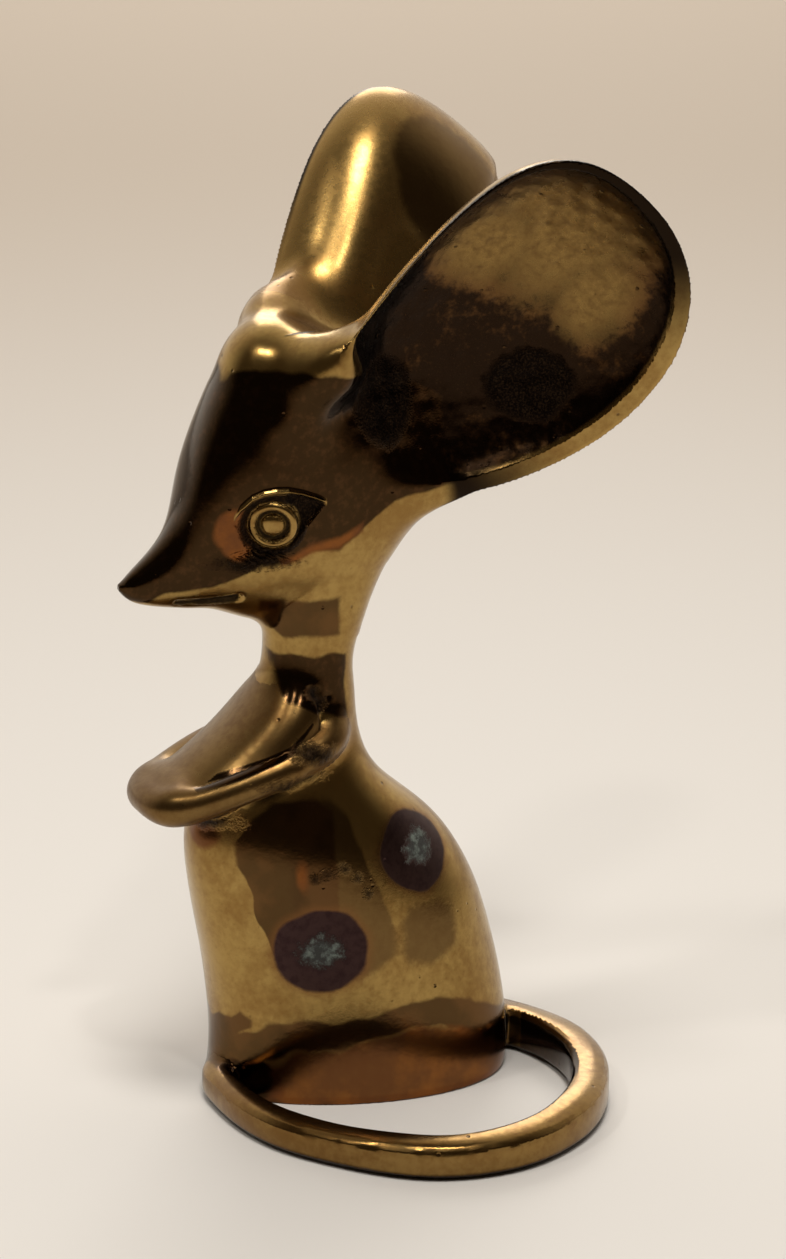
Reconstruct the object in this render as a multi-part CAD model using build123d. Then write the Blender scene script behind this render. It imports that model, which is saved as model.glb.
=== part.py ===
from build123d import *
import os

# A sitting mouse in cast brass. It faces -Y, its own left side is +X, and it rests on Z = 0.
# All lengths are millimetres. Values whose names end in share or shares are fractions.
# The neck seam carries the head and the arms: a rise counts up from it and a drop down.

# Body and neck
neck_seam_height = 68.0
base_toe_reach = 24.0
base_rump_reach = 24.5
body_half_width = 15.5
neck_top_rise = 16.0
shell_wall = 2.2
cut_overrun = 1.0

# Head
snout_reach = 35.3
snout_tip_rise = 9.3
crown_rise = 45.5
nape_reach = 13.9
cheek_half_width = 11.0

# Ears: a scoop whose rim lies in a plane turned out, forward and down
ear_tip_length = 50.0
ear_root_length = 14.0
ear_half_width = 22.0
ear_cup_depth = 10.0
ear_wall = 1.7
ear_wall_growth = 0.9
ear_root_side = 12.2
ear_root_reach = 2.1
ear_root_rise = 34.7
ear_forward_angle = 12.0
ear_down_angle = 23.0
ear_sweep_angle = 39.1
right_ear_lean_angle = 2.0

# Eyes: a ring round a dome, on a stud in a sunk socket
eye_ring_radius = 3.4
eye_ring_wall = 0.9
eye_dome_radius = 1.8
eye_socket_radius = 4.6
eye_stud_depth = 2.0
eye_ring_height = 0.5
eye_dome_height = 0.9
eye_sink = 0.8
eye_reach = 15.6
eye_rise = 19.0
eye_side_share = 0.9
eye_forward_angle = 24.0
eye_down_angle = 14.0

# Arms: one casting in front of the chest
paw_reach = 33.6
paw_tip_drop = 22.5
arm_top_drop = 1.8
arm_half_width = 10.4
arm_bar_diameter = 4.6

# Tail: a tapered bar lying round the left side
tail_loop_side = 43.8
tail_loop_back = 29.4
tail_loop_front = 24.0
tail_root_width = 6.0
tail_tip_width = 4.2
tail_root_height = 7.0
tail_tip_height = 5.2
tail_edge_radius = 1.6
tail_top_slope = 1.0
tail_section_count = 13


def egg(plane, near, far, near_side, far_side):
    """A closed egg in a plane, its long axis on the local X axis from near to far."""
    one_side = Bezier((near, 0), (near, near_side), (far, far_side), (far, 0))
    other_side = Bezier((far, 0), (far, -far_side), (near, -near_side), (near, 0))
    return plane * make_face(Wire([one_side, other_side]))


# A curve through an egg's side reaches three quarters of its handles' mean length
side_handle_share = 4 / 3

# Height, toe, rump and width of the body's level sections, and how full each end is
body_section_shares = [
    (0.0, 0.96, 0.94, 1.08, 0.74, 1.22),
    (0.05, 0.935, 0.96, 1.07, 0.78, 1.20),
    (0.18, 0.925, 0.93, 1.03, 0.90, 1.10),
    (0.33, 0.98, 0.84, 0.98, 0.98, 1.02),
    (0.46, 1.04, 0.71, 0.93, 1.0, 1.0),
    (0.58, 1.06, 0.48, 0.83, 1.0, 1.0),
    (0.70, 0.92, 0.13, 0.66, 1.0, 1.0),
    (0.82, 0.69, 0.01, 0.51, 1.0, 1.0),
    (0.92, 0.57, -0.01, 0.445, 1.0, 1.0),
    (1.0, 0.55, 0.03, 0.44, 1.0, 1.0),
]


def body_section(height, toe, rump, half_width, toe_fullness, rump_fullness):
    level = Plane(origin=(0, 0, height), x_dir=(0, 1, 0), z_dir=(0, 0, 1))
    handle = half_width * side_handle_share
    return egg(level, -toe, rump, handle * toe_fullness, handle * rump_fullness)


def body_outer():
    sections = [
        body_section(
            height * neck_seam_height,
            toe * base_toe_reach,
            rump * base_rump_reach,
            width * body_half_width,
            toe_fullness,
            rump_fullness,
        )
        for height, toe, rump, width, toe_fullness, rump_fullness in body_section_shares
    ]
    return loft(sections)


def body_cavity():
    sections = [
        body_section(
            height * neck_seam_height,
            toe * base_toe_reach - shell_wall,
            rump * base_rump_reach - shell_wall,
            width * body_half_width - shell_wall,
            toe_fullness,
            rump_fullness,
        )
        for height, toe, rump, width, toe_fullness, rump_fullness in body_section_shares[:7:2]
    ]
    cavity = loft(sections)
    opening = extrude(sections[0], amount=-cut_overrun)
    return cavity + opening


# Reach (forward by the snout's, back by the nape's), underside, top and width of the
# head's upright sections
head_section_shares = [
    (1.0, 0.0, 0.02, 0.05),
    (0.955, -0.045, 0.055, 0.16),
    (0.87, -0.075, 0.13, 0.28),
    (0.78, -0.09, 0.245, 0.40),
    (0.70, -0.10, 0.51, 0.60),
    (0.60, -0.115, 0.75, 0.78),
    (0.45, -0.17, 0.96, 0.94),
    (0.25, -0.20, 1.0, 1.0),
    (0.03, -0.15, 0.90, 0.95),
    (-0.43, 0.05, 0.74, 0.78),
    (-0.80, 0.23, 0.60, 0.54),
    (-1.0, 0.35, 0.50, 0.24),
]
head_under_fullness_share = 0.85
head_top_fullness_share = 1.15


def head_outer():
    snout_level = neck_seam_height + snout_tip_rise
    head_depth = crown_rise - snout_tip_rise
    sections = []
    for reach, under, top, width in head_section_shares:
        ahead = reach * (snout_reach if reach > 0 else nape_reach)
        upright = Plane(origin=(0, -ahead, snout_level), x_dir=(0, 0, 1), z_dir=(0, 1, 0))
        handle = width * cheek_half_width * side_handle_share
        sections.append(
            egg(
                upright,
                under * head_depth,
                top * head_depth,
                handle * head_under_fullness_share,
                handle * head_top_fullness_share,
            )
        )
    return loft(sections)


# Rise above the seam, throat, nape and width of the neck where it spreads into the head
neck_top_shares = [(0.0, 1.0, 0.056, 1.0), (0.5, 1.03, 0.28, 1.12), (1.0, 1.05, 0.68, 1.2)]


def neck_top():
    height_share, toe, rump, width, toe_fullness, rump_fullness = body_section_shares[-1]
    sections = [
        body_section(
            neck_seam_height + rise * neck_top_rise,
            throat_growth * toe * base_toe_reach,
            nape * nape_reach,
            width_growth * width * body_half_width,
            toe_fullness,
            rump_fullness,
        )
        for rise, throat_growth, nape, width_growth in neck_top_shares
    ]
    return loft(sections)


def ear_plane():
    facing = Vector(1, 0, 0).rotate(Axis.Z, -ear_forward_angle)
    level = Vector(0, 1, 0).rotate(Axis.Z, -ear_forward_angle)
    facing = facing.rotate(Axis((0, 0, 0), level), ear_down_angle)
    along = level.rotate(Axis((0, 0, 0), facing), ear_sweep_angle)
    root_level = neck_seam_height + ear_root_rise
    return Plane(
        origin=(ear_root_side, -ear_root_reach, root_level), x_dir=along, z_dir=facing
    )


# Handles of the rim's two sides as shares of the ear's half width, root to tip, with
# the place along the ear of the middle one
rim_front_shares = (0.29, 0.79, 1.55)
rim_back_shares = (0.90, 1.89, 1.03)
rim_front_middle_share = 0.45
rim_back_middle_share = 0.50


# How far the cup's outlines shrink on their way from the rim to the bottom
ear_cup_shares = [
    (1.0, 0.0),
    (0.95, 0.26),
    (0.85, 0.52),
    (0.69, 0.76),
    (0.46, 0.92),
    (0.20, 0.99),
]


def ear_outline(level, shrink, inset, rise):
    """The rim's outline in a plane along it, drawn in towards the cup's middle."""
    near = -ear_root_length + inset
    far = ear_tip_length - inset
    middle = (near + far) / 2
    width_share = shrink * (ear_half_width - inset)
    sides = []
    for side, handles, place in (
        (1, rim_front_shares, rim_front_middle_share),
        (-1, rim_back_shares, rim_back_middle_share),
    ):
        waist = place * ear_tip_length
        points = [
            (near, 0),
            (near, handles[0]),
            (waist, handles[1]),
            (far, handles[2]),
            (far, 0),
        ]
        handles = [
            (middle + (x - middle) * shrink, rise + side * y * width_share) for x, y in points
        ]
        sides.append(Bezier(*handles))
    return level * make_face(Wire(sides))


def ear_bowl(inset, rise):
    """A bowl behind the rim plane, moved up along the rim by the rise."""
    rim = ear_plane()
    sections = []
    for shrink, depth in ear_cup_shares:
        level = rim.offset(-depth * (ear_cup_depth - inset))
        sections.append(ear_outline(level, shrink, inset, rise))
    return loft(sections)


def right_ear_shell():
    """The mirror image of the left one, but brazed on leaning a little further forward."""
    root = (-ear_root_side, -ear_root_reach, neck_seam_height + ear_root_rise)
    return other_side(left_ear_shell()).rotate(Axis(root, (1, 0, 0)), right_ear_lean_angle)


def left_ear_shell():
    """The hollow lies off the middle, so the wall is thin above and thick below."""
    return ear_bowl(0, 0) - ear_bowl(ear_wall, ear_wall_growth)


# Reach, underside, top and width of the sections of the arms' broad upper part, and how
# full the underside and the top are
arm_section_shares = [
    (0.97, -0.02, 0.06, 0.25, 0.9, 1.0),
    (0.92, -0.10, 0.08, 0.58, 1.1, 0.9),
    (0.80, -0.15, 0.22, 0.82, 1.2, 0.8),
    (0.60, -0.05, 0.46, 0.96, 1.2, 0.8),
    (0.40, 0.15, 0.80, 0.98, 1.3, 0.7),
    (0.25, 0.30, 0.94, 0.88, 1.3, 0.6),
]
# Side, reach and height of one arm's middle line, from the paws to the shoulder
arm_line_shares = [
    (0.52, 0.90, 0.0),
    (0.80, 0.78, 0.06),
    (0.98, 0.60, 0.17),
    (1.02, 0.43, 0.26),
    (0.92, 0.26, 0.36),
    (0.70, 0.17, 0.44),
    (0.46, 0.16, 0.50),
]


def arms_outer():
    paw_level = neck_seam_height - paw_tip_drop
    rise = paw_tip_drop - arm_top_drop
    sections = []
    for reach, under, top, width, under_fullness, top_fullness in arm_section_shares:
        upright = Plane(
            origin=(0, -reach * paw_reach, paw_level), x_dir=(0, 0, 1), z_dir=(0, 1, 0)
        )
        handle = width * arm_half_width * side_handle_share
        sections.append(
            egg(upright, under * rise, top * rise, handle * under_fullness, handle * top_fullness)
        )
    return loft(sections)


def arm_bar():
    """One round bar from shoulder to shoulder, bent where the paws meet."""
    paw_level = neck_seam_height - paw_tip_drop
    rise = paw_tip_drop - arm_top_drop
    left = [
        (side * arm_half_width, -reach * paw_reach, paw_level + height * rise)
        for side, reach, height in arm_line_shares
    ]
    paws = (0, -paw_reach + arm_bar_diameter / 2, paw_level)
    right = [(-x, y, z) for x, y, z in left]
    route = Spline(*reversed(left), paws, *right)
    section = Plane(origin=route @ 0, z_dir=route % 0) * Circle(arm_bar_diameter / 2)
    return sweep(section, path=route)


# The tail's middle line from the rump to the toe: side, and length back or forward
tail_line_shares = [
    (0.0, 0.80),
    (0.14, 0.94),
    (0.37, 1.0),
    (0.59, 0.93),
    (0.78, 0.76),
    (0.92, 0.54),
    (1.0, 0.28),
    (1.015, 0.05),
    (0.98, -0.19),
    (0.885, -0.43),
    (0.735, -0.69),
    (0.54, -0.88),
    (0.315, -0.97),
    (0.105, -0.94),
    (-0.01, -0.84),
]


def tail_bar():
    """A bar that tapers along its line, its upper face sloping down and out."""
    points = [
        (side * tail_loop_side, length * (tail_loop_back if length > 0 else tail_loop_front), 0)
        for side, length in tail_line_shares
    ]
    route = Spline(*points)
    sections = []
    for step in range(tail_section_count):
        part_way = step / (tail_section_count - 1)
        width = tail_root_width + (tail_tip_width - tail_root_width) * part_way
        height = tail_root_height + (tail_tip_height - tail_root_height) * part_way
        upright = Plane(origin=route @ part_way, x_dir=(0, 0, 1), z_dir=route % part_way)
        outline = Polygon(
            (0, -width / 2),
            (height - tail_top_slope, -width / 2),
            (height, width / 2),
            (0, width / 2),
            align=None,
        )
        sections.append(upright * fillet(outline.vertices(), tail_edge_radius))
    return loft(sections)


def eye_plane():
    facing = Vector(1, 0, 0).rotate(Axis.Z, -eye_forward_angle)
    level = Vector(0, 1, 0).rotate(Axis.Z, -eye_forward_angle)
    facing = facing.rotate(Axis((0, 0, 0), level), eye_down_angle)
    side = eye_side_share * cheek_half_width
    eye_level = neck_seam_height + eye_rise
    return Plane(origin=(side, -eye_reach, eye_level), x_dir=level, z_dir=facing)


def left_eye_stud():
    """A turned stud whose face has a half round ring and a low dome."""
    floor = -eye_sink
    bottom = floor - eye_stud_depth
    groove_radius = eye_ring_radius - eye_ring_wall
    ring_top = floor + eye_ring_height
    dome_top = floor + eye_dome_height
    profile = [
        Polyline((0, bottom), (eye_ring_radius, bottom), (eye_ring_radius, ring_top)),
        ThreePointArc(
            (eye_ring_radius, ring_top),
            (eye_ring_radius - eye_ring_wall / 2, ring_top + eye_ring_wall / 2),
            (groove_radius, ring_top),
        ),
        Polyline((groove_radius, ring_top), (groove_radius, floor), (eye_dome_radius, floor)),
        TangentArc((0, dome_top), (eye_dome_radius, floor), tangent=(1, 0)),
        Line((0, dome_top), (0, bottom)),
    ]
    face = make_face([edge for part in profile for edge in part.edges()])
    return eye_plane() * revolve(Plane.XZ * face, Axis.Z)


def left_eye_socket():
    """A bore for the stud with a dished mouth."""
    bore = Cylinder(
        eye_ring_radius,
        eye_stud_depth + eye_socket_radius,
        align=(Align.CENTER, Align.CENTER, Align.MIN),
    )
    dish = Cone(
        eye_ring_radius,
        eye_socket_radius + (eye_socket_radius - eye_ring_radius),
        eye_sink * 2,
        align=(Align.CENTER, Align.CENTER, Align.MIN),
    )
    return eye_plane() * (Pos(0, 0, -eye_sink - eye_stud_depth) * bore + Pos(0, 0, -eye_sink) * dish)


def other_side(solid):
    return mirror(solid, about=Plane.YZ)


# The castings meet face to face: each is cut by the form that it is brazed to
outer_body = body_outer()
head_form = head_outer() + neck_top()
body_shell = outer_body - body_cavity()
head = head_form - outer_body - left_eye_socket() - other_side(left_eye_socket())
left_ear = left_ear_shell() - head_form
right_ear = right_ear_shell() - head_form
left_eye = left_eye_stud()
arms = arms_outer() + arm_bar() - outer_body - head_form
tail = tail_bar() - outer_body

pieces = {
    "body_shell": body_shell,
    "head": head,
    "left_ear": left_ear,
    "right_ear": right_ear,
    "left_eye": left_eye,
    "right_eye": other_side(left_eye),
    "arms": arms,
    "tail": tail,
}

# The origin is the middle of the overall box, on the surface that the mouse stands on
whole = Compound(children=[Part() + piece for piece in pieces.values()]).bounding_box()
ground = Pos(-whole.center().X, -whole.center().Y, -whole.min.Z)

os.makedirs("parts", exist_ok=True)
for name, piece in pieces.items():
    export_step(ground * piece, "parts/" + name + ".step")
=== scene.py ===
import math
import bpy
import bmesh
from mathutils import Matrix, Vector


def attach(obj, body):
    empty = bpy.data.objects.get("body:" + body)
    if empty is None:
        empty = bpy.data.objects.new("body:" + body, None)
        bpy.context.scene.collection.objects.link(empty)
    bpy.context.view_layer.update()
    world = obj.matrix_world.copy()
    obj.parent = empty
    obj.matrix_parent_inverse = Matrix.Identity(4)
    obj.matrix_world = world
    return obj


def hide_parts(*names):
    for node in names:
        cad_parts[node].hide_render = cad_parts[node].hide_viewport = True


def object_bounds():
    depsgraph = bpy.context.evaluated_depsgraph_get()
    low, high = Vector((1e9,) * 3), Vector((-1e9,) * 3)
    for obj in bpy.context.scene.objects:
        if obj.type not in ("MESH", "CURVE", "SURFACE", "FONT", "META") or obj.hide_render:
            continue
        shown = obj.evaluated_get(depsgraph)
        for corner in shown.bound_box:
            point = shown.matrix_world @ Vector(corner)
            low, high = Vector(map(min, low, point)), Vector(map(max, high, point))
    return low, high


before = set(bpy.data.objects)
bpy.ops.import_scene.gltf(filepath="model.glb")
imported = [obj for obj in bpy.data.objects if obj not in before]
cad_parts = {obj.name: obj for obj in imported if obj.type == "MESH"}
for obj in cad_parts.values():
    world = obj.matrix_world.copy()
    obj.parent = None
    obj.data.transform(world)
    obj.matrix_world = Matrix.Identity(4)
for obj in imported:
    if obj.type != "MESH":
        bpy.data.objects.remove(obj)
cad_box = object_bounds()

import openvdb
import numpy as np
from mathutils import Vector

# Lengths are millimetres until a mesh is made, which is in metres. SHIFT goes from the
# mouse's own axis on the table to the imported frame. It faces -Y and its left side is +X.
SHIFT = np.array((-6.780, -2.568, 0.0))
# One grid holds every distance: its step, its margin round the object and how far out of
# and into a solid the distances are known
VOXEL = 0.3
MARGIN = 3
OUT_BAND = 8.4
IN_BAND = 3.0


class Field:
    """Distances to a solid in a block of the grid, below zero inside it."""

    def __init__(self, low, values):
        self.low, self.values = low, values

    def at(self, points):
        """Trilinear values at points."""
        place = points / VOXEL - self.low
        cell = np.clip(np.floor(place).astype(int), 0, np.array(self.values.shape) - 2)
        far = np.clip(place - cell, 0, 1)
        near = 1 - far
        out = np.zeros(len(points))
        for dx in (0, 1):
            for dy in (0, 1):
                for dz in (0, 1):
                    weight = (far if dx else near)[:, 0] * (far if dy else near)[:, 1]
                    weight = weight * (far if dz else near)[:, 2]
                    out += weight * self.values[cell[:, 0] + dx, cell[:, 1] + dy, cell[:, 2] + dz]
        return out

    def slope(self, points, step=VOXEL):
        """Directions away from the solid at points."""
        out = np.empty((len(points), 3))
        for axis in range(3):
            move = np.zeros(3)
            move[axis] = step
            out[:, axis] = self.at(points + move) - self.at(points - move)
        return out / np.maximum(np.linalg.norm(out, axis=1, keepdims=True), 1e-9)


grid_step = openvdb.createLinearTransform(voxelSize=VOXEL)
box_low, box_high = (np.array(corner) * 1000 for corner in cad_box)
floor_index = np.floor((box_low - MARGIN) / VOXEL).astype(int)
roof_index = np.ceil((box_high + MARGIN) / VOXEL).astype(int)


def node_mesh(name):
    """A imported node's points in millimetres and its triangles."""
    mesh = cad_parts[name].data
    points = np.empty(len(mesh.vertices) * 3, np.float32)
    mesh.vertices.foreach_get("co", points)
    mesh.calc_loop_triangles()
    corners = np.empty(len(mesh.loop_triangles) * 3, np.int32)
    mesh.loop_triangles.foreach_get("vertices", corners)
    return points.reshape(-1, 3) * 1000, corners.reshape(-1, 3).astype(np.uint32)


def field(points, triangles):
    """The distances to a closed mesh, in a block as large as the band needs."""
    low = np.maximum(np.floor((points.min(0) - OUT_BAND) / VOXEL).astype(int), floor_index)
    high = np.minimum(np.ceil((points.max(0) + OUT_BAND) / VOXEL).astype(int), roof_index)
    grid = openvdb.FloatGrid.createLevelSetFromPolygons(
        points.astype(np.float32),
        triangles=triangles,
        transform=grid_step,
        exBandWidth=OUT_BAND / VOXEL,
        inBandWidth=IN_BAND / VOXEL,
    )
    values = np.empty(tuple(high - low), np.float32)
    grid.copyToArray(values, ijk=tuple(int(v) for v in low))
    return Field(low, values)


def joined(a, b, reach):
    """A union whose inner corners are filled by a fillet about as wide as the reach."""
    part = np.clip(0.5 + 0.5 * (b - a) / reach, 0, 1)
    return b + (a - b) * part - reach * part * (1 - part)


def window(part):
    """The part's block as a slice of the whole grid."""
    start = part.low - floor_index
    return tuple(slice(s, s + n) for s, n in zip(start, part.values.shape))


def places(part):
    """The own coordinates of a block's grid points, ready to be combined."""
    axes = [
        (part.low[i] + np.arange(part.values.shape[i], dtype=np.float32)) * VOXEL - SHIFT[i]
        for i in range(3)
    ]
    return axes[0][:, None, None], axes[1][None, :, None], axes[2][None, None, :]


def smooth(low, high, value):
    """A soft step from 0 at low to 1 at high, falling where low is the larger one."""
    t = np.clip((value - low) / (high - low), 0, 1)
    return t * t * (3 - 2 * t)


# Level of the neck seam, and how near to it a point counts as lying on it
SEAM = 68.0
ON_SEAM = 0.004


def seamless(names):
    """One field of two solids that meet face to face on the level of the neck seam."""
    all_points, all_triangles, count = [], [], 0
    for name in names:
        points, triangles = node_mesh(name)
        on_seam = (np.abs(points[triangles][:, :, 2] - SEAM) < ON_SEAM).all(axis=1)
        all_points.append(points)
        all_triangles.append(triangles[~on_seam] + count)
        count += len(points)
    return field(np.concatenate(all_points), np.concatenate(all_triangles).astype(np.uint32))


# The rim plane of the left ear: its normal, its length and the way up across it
EAR_ROOT = np.array((12.2, -2.1, 102.7))
EAR_OUT = np.array((0.900, -0.191, -0.391))
EAR_ALONG = np.array((0.403, 0.708, 0.581))
EAR_UP = np.cross(EAR_OUT, EAR_ALONG)
HAMMERED_SHARE = 0.48


def narrower_ear(points, triangles):
    """The right ear was hammered in a little along its rear edge."""
    flip = np.array((-1, 1, 1))
    own = (points - SHIFT) * flip - EAR_ROOT
    below = own @ EAR_UP
    change = -below * HAMMERED_SHARE * smooth(1.0, -9.0, below) * smooth(-2.0, 16.0, own @ EAR_ALONG)
    own = own + EAR_ROOT + change[:, None] * EAR_UP
    return own * flip + SHIFT, triangles


core = seamless(("body_shell", "head"))
ears = {
    "ear_left": field(*node_mesh("left_ear")),
    "ear_right": field(*narrower_ear(*node_mesh("right_ear"))),
}
arms = field(*node_mesh("arms"))
tail = field(*node_mesh("tail"))

# The eye's plane: where its ring lies, the way that it looks and the way along the head
EYE = np.array((9.9, -15.6, 87.0))
EYE_OUT = np.array((0.886, -0.395, -0.242))
EYE_ALONG = np.array((0.407, 0.914, 0.0))
EYE_UP = np.cross(EYE_OUT, EYE_ALONG)

whole = Field(floor_index, np.full(tuple(roof_index - floor_index), OUT_BAND, np.float32))
whole.values[window(core)] = core.values

# The neck was filed smooth over its seam: each level becomes the mean of so many levels on
# either side, in full up to the core and not at all past the reach. The file cuts hardly
# any depth, so what it leaves is filled up.
FILED_REACH = 9
FILED_CORE = 5
FILED_LEVELS = 11
FILED_DEPTH = 0.02

x, y, z = places(core)
above_seam = z - SEAM
levels = np.nonzero(np.abs(above_seam[0, 0]) < FILED_REACH)[0]
summed = np.cumsum(np.pad(core.values, ((0, 0), (0, 0), (1, 0))), axis=2, dtype=np.float64)
evened = summed[:, :, levels + FILED_LEVELS + 1] - summed[:, :, levels - FILED_LEVELS]
evened /= 2 * FILED_LEVELS + 1
share = smooth(-FILED_REACH, -FILED_CORE, above_seam) * smooth(FILED_REACH, FILED_CORE, above_seam)
share = share[:, :, levels]
plain = core.values[:, :, levels]
mixed = plain * (1 - share) + evened * share
whole.values[window(core)][:, :, levels] = np.minimum(mixed, plain + FILED_DEPTH)
del summed, evened, mixed, plain

# The bores of the eyes are filled up to the ring's seat
BORE_RADIUS = 3.9
BORE_SEAT = 0.8
BORE_DEPTH = 6

for side in (1, -1):
    across = [x * side - EYE[0], y - EYE[1], z - EYE[2]]
    out = across[0] * EYE_OUT[0] + across[1] * EYE_OUT[1] + across[2] * EYE_OUT[2]
    radial = np.sqrt(np.maximum(across[0] ** 2 + across[1] ** 2 + across[2] ** 2 - out**2, 0))
    seat = np.maximum(np.maximum(radial - BORE_RADIUS, out + BORE_SEAT), -BORE_DEPTH - out)
    target = whole.values[window(core)]
    np.minimum(target, seat, out=target)


def add_rod(part, start, end, girth, reach):
    """Adds a round rod, in own coordinates, within a part's block."""
    line = np.array(end) - start
    across = [axis - first for axis, first in zip(places(part), start)]
    along = sum(a * float(v) for a, v in zip(across, line)) / float(line @ line)
    along = np.clip(along, 0, 1)
    gap = np.sqrt(sum((a - along * float(v)) ** 2 for a, v in zip(across, line))) - girth
    target = whole.values[window(part)]
    target[...] = joined(target, gap, reach)


# Brazing metal fills the saddle from the crown up to the front of each ear: the start, the
# end and the girth of its rods
SADDLE = [
    ((1.0, -13.0, 108.6), (-8.0, -8.9, 111.9), 3.5),
    ((-8.0, -8.9, 111.9), (-11.5, -6.8, 113.2), 2.9),
    ((-1.0, -13.0, 108.4), (8.0, -8.6, 108.6), 3.2),
    ((8.0, -8.6, 108.6), (11.8, -6.2, 109.6), 2.6),
]
# The bar at the front that the paws close over
PAW_BAR = ((-5.0, -28.3, 46.2), (5.0, -28.3, 46.2), 2.3)
# How wide the fillets are: in the saddle, at the ears' rims and how much more at their roots,
# round the arms and the tail, and between the paws
SADDLE_FILLET = 5.0
EAR_FILLET = 5.0
EAR_ROOT_FILLET = 3.2
LIMB_FILLET = 1.5
PAW_FILLET = 3.0

for start, end, girth in SADDLE:
    add_rod(core, start, end, girth, SADDLE_FILLET)

for name, ear in ears.items():
    side = 1 if name == "ear_left" else -1
    x, y, z = places(ear)
    from_root = (x * side - EAR_ROOT[0], y - EAR_ROOT[1], z - EAR_ROOT[2])
    behind = sum(axis * share for axis, share in zip(from_root, EAR_OUT))
    beyond = sum(axis * share for axis, share in zip(from_root, EAR_ALONG))
    at_root = np.maximum(smooth(-1.5, -6.0, behind), smooth(9.0, 0.0, beyond))
    reach = EAR_FILLET + EAR_ROOT_FILLET * at_root
    target = whole.values[window(ear)]
    target[...] = joined(target, ear.values, reach)
for part in (arms, tail):
    target = whole.values[window(part)]
    target[...] = joined(target, part.values, LIMB_FILLET)
add_rod(arms, *PAW_BAR, PAW_FILLET)

# The surface of the whole, as quads in millimetres
SURFACE_BAND = 1.2
SETTLE_STEP = 0.2

grid = openvdb.FloatGrid(SURFACE_BAND)
grid.transform = grid_step
near_values = np.clip(whole.values, -SURFACE_BAND, SURFACE_BAND)
grid.copyFromArray(near_values, ijk=tuple(int(v) for v in floor_index))
points, quads = grid.convertToQuads(isovalue=0.0)
points = points.astype(float)
quads = quads.astype(np.int64)
del grid, near_values


def settle(points):
    """Moves points onto the surface itself."""
    for _ in range(2):
        off = np.clip(whole.at(points), -SETTLE_STEP, SETTLE_STEP)
        points = points - whole.slope(points) * off[:, None]
    return points


points = settle(points)


def eye_place(own, side):
    """Places along, up and out of one eye's plane."""
    across = own * np.array((side, 1, 1)) - EYE
    return across @ EYE_ALONG, across @ EYE_UP, across @ EYE_OUT


def near_eye(own, reach):
    out = np.zeros(len(own), bool)
    for side in (1, -1):
        a, b, w = eye_place(own, side)
        out |= (np.hypot(a - 0.6, b) < reach) & (np.abs(w) < 6)
    return out


# The eye: its ring, its dome, and the lid line by its places along and up the eye's plane
EYE_RADIUS = 3.75
RING_RADIUS = 2.95
RING_HALF_WIDTH = 0.62
RING_RISE = 0.8
DOME_RADIUS = 1.72
DOME_RISE = 0.95
LID_HALF_WIDTH = 0.36
LID_RISE = 0.5
CORNER_DEPTH = 0.7
LID_ALONG = (-5.4, -4.4, -2.8, -1.1, 0.6, 2.3, 4.2, 6.0, 7.6)
LID_HEIGHT = (1.5, 3.0, 4.35, 5.0, 5.15, 4.95, 4.3, 3.4, 2.4)
# The mouth in the side view (Y, Z), which stops short of the snout's middle
MOUTH_SIDE = 0.8
MOUTH = ((-27.4, 75.15), (-23.2, 75.25), (-19.1, 75.75))


def line_distance(y, z, line):
    """The distance in the side view from a line of straight runs."""
    best = np.full(len(y), np.inf)
    for (y0, z0), (y1, z1) in zip(line[:-1], line[1:]):
        dy, dz = y1 - y0, z1 - z0
        along = np.clip(((y - y0) * dy + (z - z0) * dz) / (dy**2 + dz**2), 0, 1)
        best = np.minimum(best, np.hypot(y - y0 - along * dy, z - z0 - along * dz))
    return best


def near_mouth(own, reach):
    near = line_distance(own[:, 1], own[:, 2], MOUTH) < reach
    return near & (np.abs(own[:, 0]) > MOUTH_SIDE)


def make_waves(count, longest, shortest, seed):
    """Waves in random directions: their wave vectors and starts."""
    rng = np.random.default_rng(seed)
    ways = rng.normal(size=(count, 3))
    ways /= np.linalg.norm(ways, axis=1, keepdims=True)
    lengths = longest * (shortest / longest) ** rng.random(count)
    return ways * (2 * np.pi / lengths)[:, None], rng.random(count) * 2 * np.pi


def waves(own, made):
    """The sum of such waves at points, about 1 high."""
    ways, starts = made
    out = np.zeros(len(own))
    for way, start in zip(ways, starts):
        out += np.sin(own @ way + start)
    return out / math.sqrt(len(starts))


# The unevenness of handwork, and the dents and grain of the rough scoops
HAND = make_waves(count=14, longest=26, shortest=11, seed=3)
DENTS = make_waves(count=22, longest=7, shortest=2.6, seed=5)
GRAIN = make_waves(count=26, longest=2.4, shortest=1.0, seed=7)
HAND_HEIGHT = 0.07
DENT_HEIGHT = 0.05
GRAIN_HEIGHT = 0.016
LUMP_HEIGHT = 0.16

# Dents and pits deep enough to see: place, radius and depth
PITS = [
    (7.4, -8.3, 61.0, 0.7, 0.5), (7.7, -7.6, 59.2, 0.8, 0.6), (7.6, -6.2, 60.4, 0.5, 0.4),
    (20.9, 21.0, 128.6, 0.9, 0.35), (18.6, 23.6, 122.6, 0.8, 0.35), (16.4, 29.6, 121.7, 0.9, 0.4),
    (16.4, 30.0, 118.8, 0.8, 0.4), (14.2, 21.6, 115.2, 0.9, 0.35), (13.0, 17.0, 117.5, 0.8, 0.3),
]
# Lumpy flux left in the cups and under the shoulder: place and reach
LUMPS = [(10, 2, 104, 5.5), (12, 22.5, 104.6, 5.5), (11.9, -13, 49.4, 3.0), (3.8, -24.4, 42.9, 2.5)]
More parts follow.
